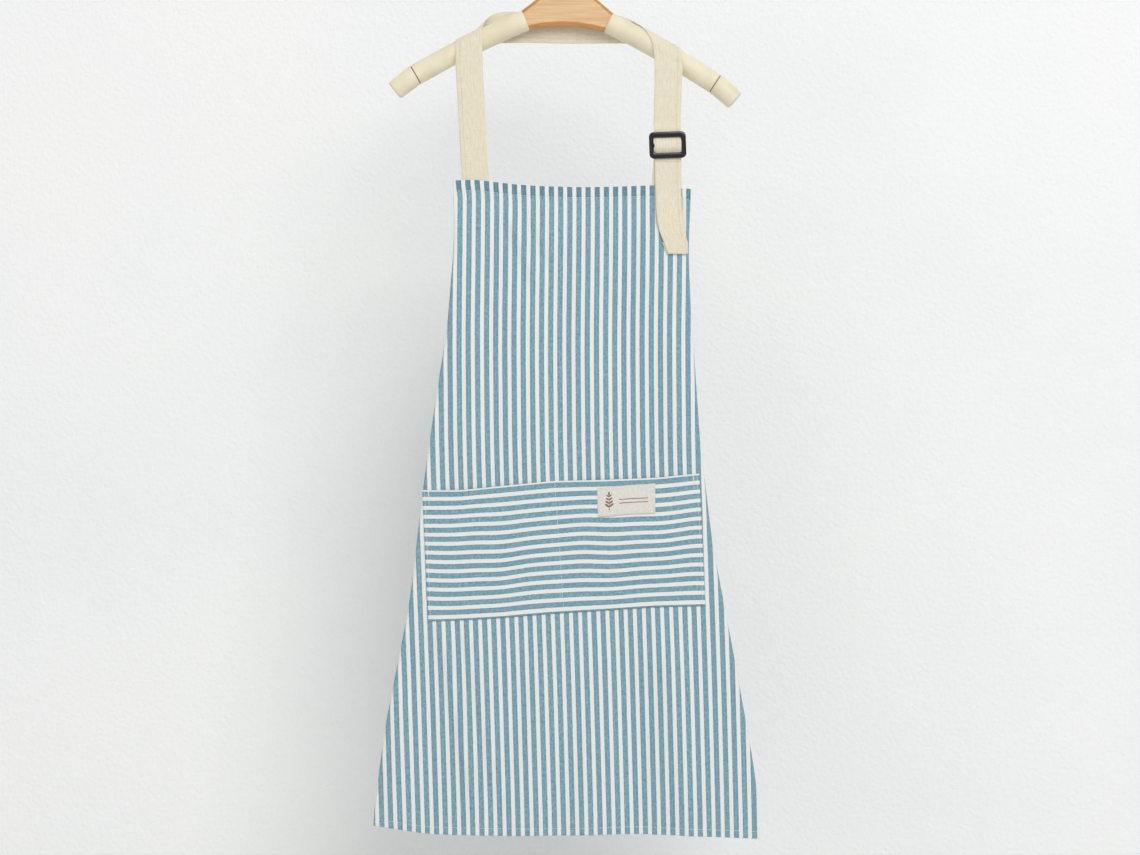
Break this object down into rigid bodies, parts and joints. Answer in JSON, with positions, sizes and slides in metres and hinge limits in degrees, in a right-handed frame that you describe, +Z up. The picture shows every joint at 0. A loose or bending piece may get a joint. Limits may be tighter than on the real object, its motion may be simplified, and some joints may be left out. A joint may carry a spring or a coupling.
{
  "type": "bib apron on a padded coat hanger",
  "caption": "Striped bib apron with adjustable neck strap and pocket, hung by its strap over a padded wooden coat hanger with a swivel hook.",
  "frame": {"origin": "inside top of the hook, where it sits on a rail or peg", "axes": "+X to the right seen from the front, -Y out of the apron's front, +Z up; the hanger leans 1.7 degrees, right end down, and the apron hangs plumb"},
  "size_m": [0.486, 0.0428, 1.148],
  "materials": {
    "hook_steel": "polished, lightly scratched wire",
    "ferrule_brass": "turned",
    "hanger_wood": "clear lacquer over fine grain",
    "sleeve_foam": "smooth matte skin on a soft padded sleeve",
    "strap_cotton": "undyed cotton and linen plain weave",
    "buckle_plastic": "black moulded plastic, slight sheen",
    "striped_cotton": "yarn-dyed blue and white stripe, slubby plain weave",
    "label_cotton": "off-white woven label"
  },
  "bodies": {
    "hook": {"hook_wire": "hook_steel", "hook_stop_collar": "hook_steel"},
    "hanger": {"hook_ferrule": "ferrule_brass", "wood_body": "hanger_wood", "left_sleeve": "sleeve_foam", "right_sleeve": "sleeve_foam", "left_end_cap": "sleeve_foam", "right_end_cap": "sleeve_foam"},
    "neck_strap": {"strap_over_left": "strap_cotton", "strap_back_run": "strap_cotton", "strap_over_right": "strap_cotton"},
    "apron": {"strap_left_run": "strap_cotton", "strap_right_run": "strap_cotton", "strap_through_buckle": "strap_cotton", "buckle_frame": "buckle_plastic", "buckle_tab": "strap_cotton", "front_panel": "striped_cotton", "left_wing": "striped_cotton", "right_wing": "striped_cotton", "pocket": "striped_cotton", "label": "label_cotton", "left_waist_tie": "striped_cotton", "right_waist_tie": "striped_cotton", "tie_bow": "striped_cotton"},
    "tail": {"tail_run": "strap_cotton", "tail_end": "strap_cotton"}
  },
  "joints": [
    {"name": "hook_swivel", "type": "hinge", "parent": "hook", "child": "hanger", "pos_m": [-0.00214, 0, -0.07196], "axis": [0.0297, 0, 0.9996], "continuous": true},
    {"name": "apron_lift", "type": "slide", "parent": "hanger", "child": "neck_strap", "axis": [0, 0, 1], "range_m": [0, 0.17]},
    {"name": "neck_adjust", "type": "slide", "parent": "neck_strap", "child": "apron", "axis": [0, 0, 1], "range_m": [-0.035, 0.04], "deforming": ["strap_left_run", "strap_right_run"]},
    {"name": "tail_slide", "type": "slide", "parent": "apron", "child": "tail", "axis": [0, 0, -1], "range_m": [-0.07, 0.08], "deforming": ["tail_run"]}
  ],
  "couplings": [
    {"joint": "tail_slide", "follows": "neck_adjust", "ratio": 2}
  ]
}
